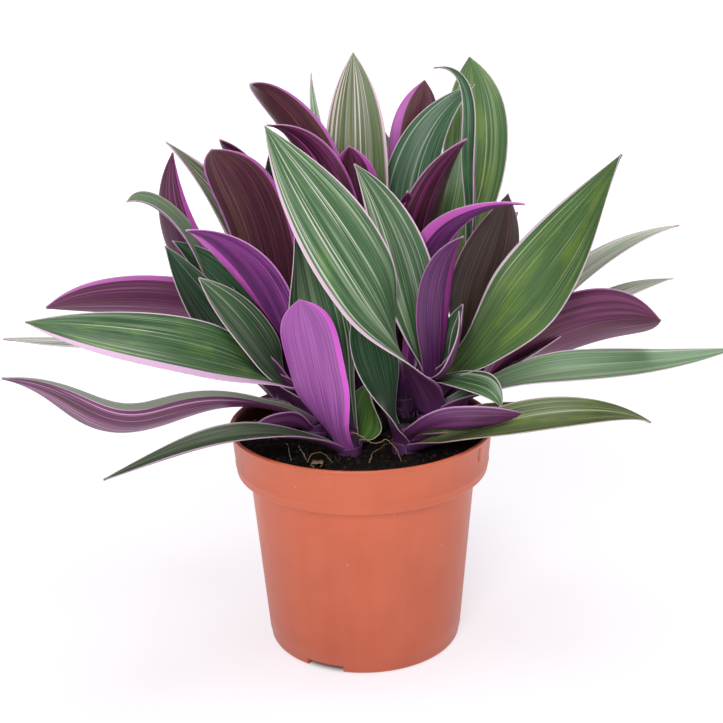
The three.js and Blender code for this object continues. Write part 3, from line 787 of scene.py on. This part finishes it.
def leaf_line(x, y, form, share):
    """A leaf's middle line from foot to tip, the way across it and the way out of its upper face."""
    azimuth = np.radians(along(form["azimuth"], share))
    rise = np.radians(along(form["rise"], share))
    level = np.cos(rise)
    way = np.stack([level * np.cos(azimuth), level * np.sin(azimuth), np.sin(rise)], -1)
    step = form["length"] / STATIONS
    root = np.array([x, y, SOIL_LEVEL + form["base"]], float)
    root[:2] += SHEATH_OFFSET * np.array([math.cos(azimuth[0]), math.sin(azimuth[0])])
    spine = root + np.vstack([np.zeros(3), np.cumsum((way[1:] + way[:-1]) / 2 * step, 0)])
    flat = np.stack([-np.sin(azimuth), np.cos(azimuth), np.zeros_like(azimuth)], -1)
    raised = np.cross(way, flat)
    turn = (np.radians(form["turn"]) * ease(share / 0.5))[:, None]
    side = flat * np.cos(turn) + raised * np.sin(turn)
    out = raised * np.cos(turn) - flat * np.sin(turn)
    return spine, side, out


def blade_faces():
    """The faces on a leaf's grid of points, and the finish of each: 0 above, 1 below."""
    columns, rows = len(ACROSS), STATIONS + 1

    def index(i, layer, k):
        return (i * 2 + layer) * rows + k

    faces, skins = [], []
    for k in range(STATIONS):
        for i in range(columns - 1):
            faces.append((index(i, 0, k), index(i, 0, k + 1),
                          index(i + 1, 0, k + 1), index(i + 1, 0, k)))
            faces.append((index(i, 1, k), index(i + 1, 1, k),
                          index(i + 1, 1, k + 1), index(i, 1, k + 1)))
            skins += [0, 1]
        for i, turned in ((0, False), (columns - 1, True)):
            ring = [index(i, 0, k), index(i, 1, k), index(i, 1, k + 1), index(i, 0, k + 1)]
            faces.append(ring[::-1] if turned else ring)
            skins.append(0)
    for i in range(columns - 1):
        faces.append((index(i, 0, 0), index(i + 1, 0, 0), index(i + 1, 1, 0), index(i, 1, 0)))
        faces.append((index(i, 0, STATIONS), index(i, 1, STATIONS), index(i + 1, 1, STATIONS),
                      index(i + 1, 0, STATIONS)))
        skins += [0, 0]
    return faces, skins


def blade(name, x, y, form, chance):
    """The mesh of one leaf: upper face, under face and the thin rim between them."""
    share = np.linspace(0, 1, STATIONS + 1)
    spine, side, out = leaf_line(x, y, form, share)
    t = np.clip((share - BROADEST_AT) / (1 - BROADEST_AT), 0, 1)
    grown = SHEATH_SHARE + (1 - SHEATH_SHARE) * ease(share / BROADEST_AT)
    half = np.maximum(form["width"] / 2 * grown * (1 - t ** form["point"]), TIP_HALF)
    fold = math.radians(form["fold"])
    curl = fold + (math.radians(SHEATH_CURL) - fold) * (1 - ease(share / SHEATH_END))
    radius = half / curl
    ripple, phase, seed = chance
    points = []
    for u in ACROSS:
        thick = RIM_THICKNESS + (LEAF_THICKNESS - RIM_THICKNESS) * (1 - abs(u) ** 4)
        thick = thick * (1 - TIP_THINNING * ease((share - TIP_THINS_FROM) / (1 - TIP_THINS_FROM)))
        wave = ripple * abs(u) ** 2 * np.sin(share * 11 + phase + 2.2 * np.sign(u)) * ease(share / 0.4)
        groove = GROOVE_DEPTH * (1 - abs(u)) ** 6
        for layer, lift in ((0, wave - groove), (1, wave - groove * 0.6)):
            r = (radius + thick * layer)[:, None]
            angle = (u * curl)[:, None]
            place = spine + side * r * np.sin(angle) + out * (radius[:, None] - r * np.cos(angle))
            points.append(place + out * np.asarray(lift)[:, None])
    faces, skins = blade_faces()
    made = mesh_object(name, np.array(points).reshape(-1, 3) * MM, faces)
    made.data.polygons.foreach_set("material_index", skins)
    across = np.repeat(ACROSS, 2 * len(share))
    down = np.tile(share, 2 * len(ACROSS))
    left, right = form["margins"]
    rim = np.minimum((1 + across) / left, (1 - across) / right) * form["width"] / 2
    border = (1 - abs(across)) * np.tile(half, 2 * len(ACROSS))
    return marked(made, across * form["width"] / 2, down * form["length"], border, seed, rim, down)


# Each shoot's place on the soil, x and y in mm from the pot's axis, and its leaves.
SHOOTS = {
    "shoot_front": (-6, -17, [
        leaf(2, [215, 245], [65, 75, 70], 80, 25, 30, 25, "green", "lilac", 0.5, 2.6, ROUND),
        leaf(2, [220, 190], [40, 15, -10, -20], 115, 14, -10, 30, "dim", "violet"),
        leaf(3, [70, 5], [0, 75, 85], 33, 24, 15, 30, "fresh", "violet"),
        leaf(7, [120, 250], [70, 80, 75], 110, 28, -80, 25, "striped", "violet"),
    ]),
    "shoot_front_right": (19, -16, [
        leaf(2, [-45, 35], [30, 20, 0, -30], 120, 21, 20, 22, "olive", "violet"),
        leaf(6, [-5, 20], [25, 5, 5], 75, 21, 10, 30, "olive", "mauve"),
        leaf(8, [-65, 30], [45, 10, -5], 65, 16, -60, 35, "green", "violet", 0.5, 1.2),
        leaf(2, [200, 105], [80, 70, 70], 68, 31, 0, 25, "deep", "violet"),
    ]),
    "shoot_right": (31, 4, [
        leaf(12, [235, 170], [65, 60, 60], 155, 42, -60, 14, "striped", "violet", 0.8, 2),
        leaf(26, [145, 185], [85, 75, 55], 105, 25, -65, 25, "striped", "violet", 0.8, 1.4),
        leaf(24, [-45, -60], [85, 85, 35], 80, 21, 0, 35, "deep", "ember", 0.5, 7),
        leaf(18, [15, -65], [45, 55, 55], 145, 37, 70, 14, "lime", "maroon", 0.5, 1.2),
        leaf(28, [-70, -25], [20, 65, 95], 45, 14, 40, 40, "green", "violet"),
        leaf(30, [0, 5], [60, 70, 80], 35, 18, 20, 40, "deep", "violet"),
        leaf(24, [-45, -50], [55, 5, 0, -55], 45, 19, 10, 30, "striped", "violet"),
        leaf(10, [-10, 5], [40, 5, 10], 140, 22, 20, 20, "grey", "violet"),
    ]),
    "shoot_left": (-21, 6, [
        leaf(4, [225, 180], [45, 10, -15], 30, 14, 60, 20, "green", "violet"),
        leaf(6, [205, 210], [45, 10, -5, 40, 20], 150, 28, 45, 35, "pale", "dusky", 0.6, 3),
        leaf(14, [235, 165], [50, 20, 5], 145, 30, -40, 22, "green", "violet", 0.5, 4.2),
        leaf(12, [225, 165], [50, 60, 40], 85, 27, -35, 18, "striped", "violet"),
        leaf(22, [185, 240], [75, 60, 15], 110, 32, 15, 12, "green", "magenta", 9, 0.6),
        leaf(8, [200, 175], [65, 40, 15], 40, 20, 40, 40, "green", "violet"),
        leaf(16, [190, 205], [55, 40, 25], 70, 15, 20, 35, "green", "violet"),
    ]),
    "shoot_far_left": (-36, 26, [
        leaf(14, [205, 185], [85, 20, -10], 130, 26, 65, 30, "green", "mauve", 0.5, 2.2, BLUNT),
        leaf(8, [135, 205], [40, 0, 15], 150, 18, -5, 25, "pale", "violet"),
        leaf(16, [195, 235], [50, 55, 60], 95, 24, -80, 25, "deep", "violet"),
        leaf(20, [170, 195], [80, 55, 40], 85, 24, -45, 30, "deep", "violet"),
        leaf(24, [155, 260], [45, 65, 0], 130, 20, -40, 25, "grey", "violet"),
        leaf(26, [220, 240], [90, 75, 40], 120, 32, 20, 25, "green", "maroon", 1.6, 1.6, ROUND),
        leaf(22, [160, 195], [50, 60, 105], 120, 24, 65, 30, "green", "plum", 0.6, 3),
    ]),
    "shoot_back_left": (-19, 43, [
        leaf(24, [155, 225], [65, 60, 45], 130, 30, -40, 15, "cream", "violet", 2, 2),
        leaf(28, [120, 255], [35, 80, 30], 125, 22, 15, 40, "green", "plum"),
        leaf(30, [165, 90], [45, 90, 145], 120, 22, 10, 55, "deep", "plum"),
        leaf(8, [125, 125], [55, 30, -5], 125, 28, 0, 28, "striped", "violet"),
    ]),
    "shoot_back": (-2, 28, [
        leaf(30, [110, 265], [80, 75, 10], 160, 27, 25, 35, "green", "maroon", 2.6, 1.6),
        leaf(40, [155, 90], [75, 80, 35], 130, 7, -5, 35, "grey", "violet"),
        leaf(24, [205, 240], [85, 80, 10], 145, 25, 10, 45, "pale", "plum"),
        leaf(38, [75, 95], [80, 90, 70], 133, 30, 0, 22, "cream", "violet", 1, 1, BLUNT),
        leaf(30, [-80, -100], [85, 90, 60], 105, 24, 0, 30, "green", "plum", 3.5, 3.5, ROUND),
        leaf(10, [95, 100], [55, 30, -10], 120, 28, 0, 28, "green", "violet"),
        leaf(18, [110, 110], [65, 50, 30], 120, 27, 0, 25, "striped", "violet"),
    ]),
    "shoot_back_right": (20, 34, [
        leaf(34, [0, 115], [65, 60, 70], 145, 31, 0, 18, "lime", "maroon", 0.5, 0.5, ROUND),
        leaf(30, [95, -25], [55, 85, 80], 130, 28, -60, 30, "green", "maroon", 5, 0.5, ROUND),
        leaf(26, [65, 10], [85, 85, 30], 140, 28, 45, 30, "deep", "violet"),
        leaf(20, [-45, -45], [85, 80, 40], 125, 27, -10, 30, "green", "plum"),
        leaf(18, [-60, -95], [85, 90, 40], 100, 20, 10, 45, "green", "plum"),
        leaf(14, [-45, -55], [75, 80, 35, 5], 140, 20, -15, 30, "green", "magenta", 4.5, 5),
        leaf(12, [70, 70], [60, 40, 5], 125, 30, 0, 25, "striped", "violet"),
        leaf(6, [85, 85], [40, 10, -15], 110, 26, 0, 25, "green", "violet"),
        leaf(20, [95, 95], [75, 60, 40], 125, 27, 0, 25, "striped", "violet"),
    ]),
    "shoot_far_right": (44, 24, [
        leaf(36, [-20, 140], [85, 85, 100, -10], 145, 9, -30, 60, "deep", "plum"),
        leaf(32, [-20, -40], [80, 70, 80], 82, 31, -40, 25, "green", "brown"),
        leaf(8, [5, -45], [50, 30, 0], 110, 32, -60, 25, "green", "mauve", 0.5, 0.5, ROUND),
        leaf(16, [15, 10], [40, 40, 10], 130, 19, 10, 25, "pale", "violet"),
        leaf(12, [-5, 30], [35, 30, 0], 120, 18, 5, 30, "pale", "violet"),
        leaf(28, [55, 5], [20, 70, 75], 80, 20, 0, 30, "green", "magenta"),
        leaf(10, [50, 50], [55, 30, -5], 115, 27, 0, 25, "green", "violet"),
    ]),
}


def wrap(name, x, y, foot, height, radius, facing, spread):
    """An old sheath that clasps the stem: a split, flaring tube with a slanting mouth."""
    rows, columns = 12, 25
    grid = np.zeros((2, rows, columns, 3))
    share = np.zeros((2, rows, columns, 2))
    for i in range(rows):
        for k in range(columns):
            up, turn = i / (rows - 1), 2 * k / (columns - 1) - 1
            angle = math.radians(facing + turn * (WRAP_HALF_TURN - WRAP_OPENS * up))
            slant = 0.62 + 0.38 * math.cos(turn * math.pi / 2) ** 0.6
            for layer, step in enumerate((WRAP_THICKNESS, 0)):
                reach = radius + step + spread * up ** 2 + 0.3 * (1 + turn)
                grid[layer, i, k] = (x + reach * math.cos(angle), y + reach * math.sin(angle),
                                     foot + height * slant * up)
                share[layer, i, k] = turn, up
    count = rows * columns
    faces = []
    for i in range(rows - 1):
        for k in range(columns - 1):
            a = i * columns + k
            faces.append((a, a + 1, a + 1 + columns, a + columns))
            faces.append((count + a, count + a + columns, count + a + 1 + columns, count + a + 1))
    ring = list(range(columns)) + [i * columns + columns - 1 for i in range(1, rows)]
    ring += [(rows - 1) * columns + k for k in range(columns - 2, -1, -1)]
    ring += [i * columns for i in range(rows - 2, 0, -1)]
    for a, b in zip(ring, ring[1:] + ring[:1]):
        faces.append((b, a, count + a, count + b))
    made = mesh_object(name, grid.reshape(-1, 3) * MM, faces)
    turn, up = share.reshape(-1, 2).T
    border = 0.25 + np.minimum((1 - up) * height * 0.8, (1 - abs(turn)) * 12)
    return marked(made, turn * radius * math.pi, up * height, border, foot % 1)


leaf_dice = random.Random(11)
for shoot, (x, y, forms) in SHOOTS.items():
    top = SOIL_LEVEL + max(form["base"] for form in forms) + STEM_RISE
    heights = np.linspace(SOIL_LEVEL - STEM_SINK, top, 14)
    radii = [STEM_RADIUS - STEM_TAPER * ease((z - SOIL_LEVEL) / (top - SOIL_LEVEL)) for z in heights]
    stem = tube(shoot + "_stem", [(x, y, z) for z in heights], radii, 20)
    around = [(v.co.y / MM - y, v.co.x / MM - x, v.co.z / MM - SOIL_LEVEL) for v in stem.data.vertices]
    aside, ahead, up = np.array(around).T
    marked(stem, np.arctan2(aside, ahead) * STEM_RADIUS, up, np.full(len(up), 9.0), x % 1)
    stem.data.materials.append(sheath_skin)
    fitted(stem, "foliage", shoot)
    # The stem is bare between the soil and its lowest leaf, but for a few short old sheaths.
    lowest = min(form["base"] for form in forms)
    for number in range(1 + lowest // WRAP_STEP):
        low = SOIL_LEVEL - 2 + WRAP_STEP * number + leaf_dice.uniform(0, 0.9)
        piece = wrap(f"{shoot}_sheath_{number + 1}", x, y, low, leaf_dice.uniform(6, 8),
                     STEM_RADIUS + WRAP_GAP - 0.15 * number, leaf_dice.uniform(0, 360),
                     leaf_dice.uniform(0.1, 0.5))
        piece.data.materials.append(sheath_skin)
        fitted(piece, "foliage", shoot)
    for number, form in enumerate(forms, 1):
        chance = (leaf_dice.uniform(0.2, 0.6), leaf_dice.uniform(0, 6.28), leaf_dice.random())
        piece = blade(f"{shoot}_leaf_{number}", x, y, form, chance)
        piece.data.materials.append(SKINS[form["upper"]])
        piece.data.materials.append(SKINS[form["under"]])
        fitted(piece, "foliage", shoot)
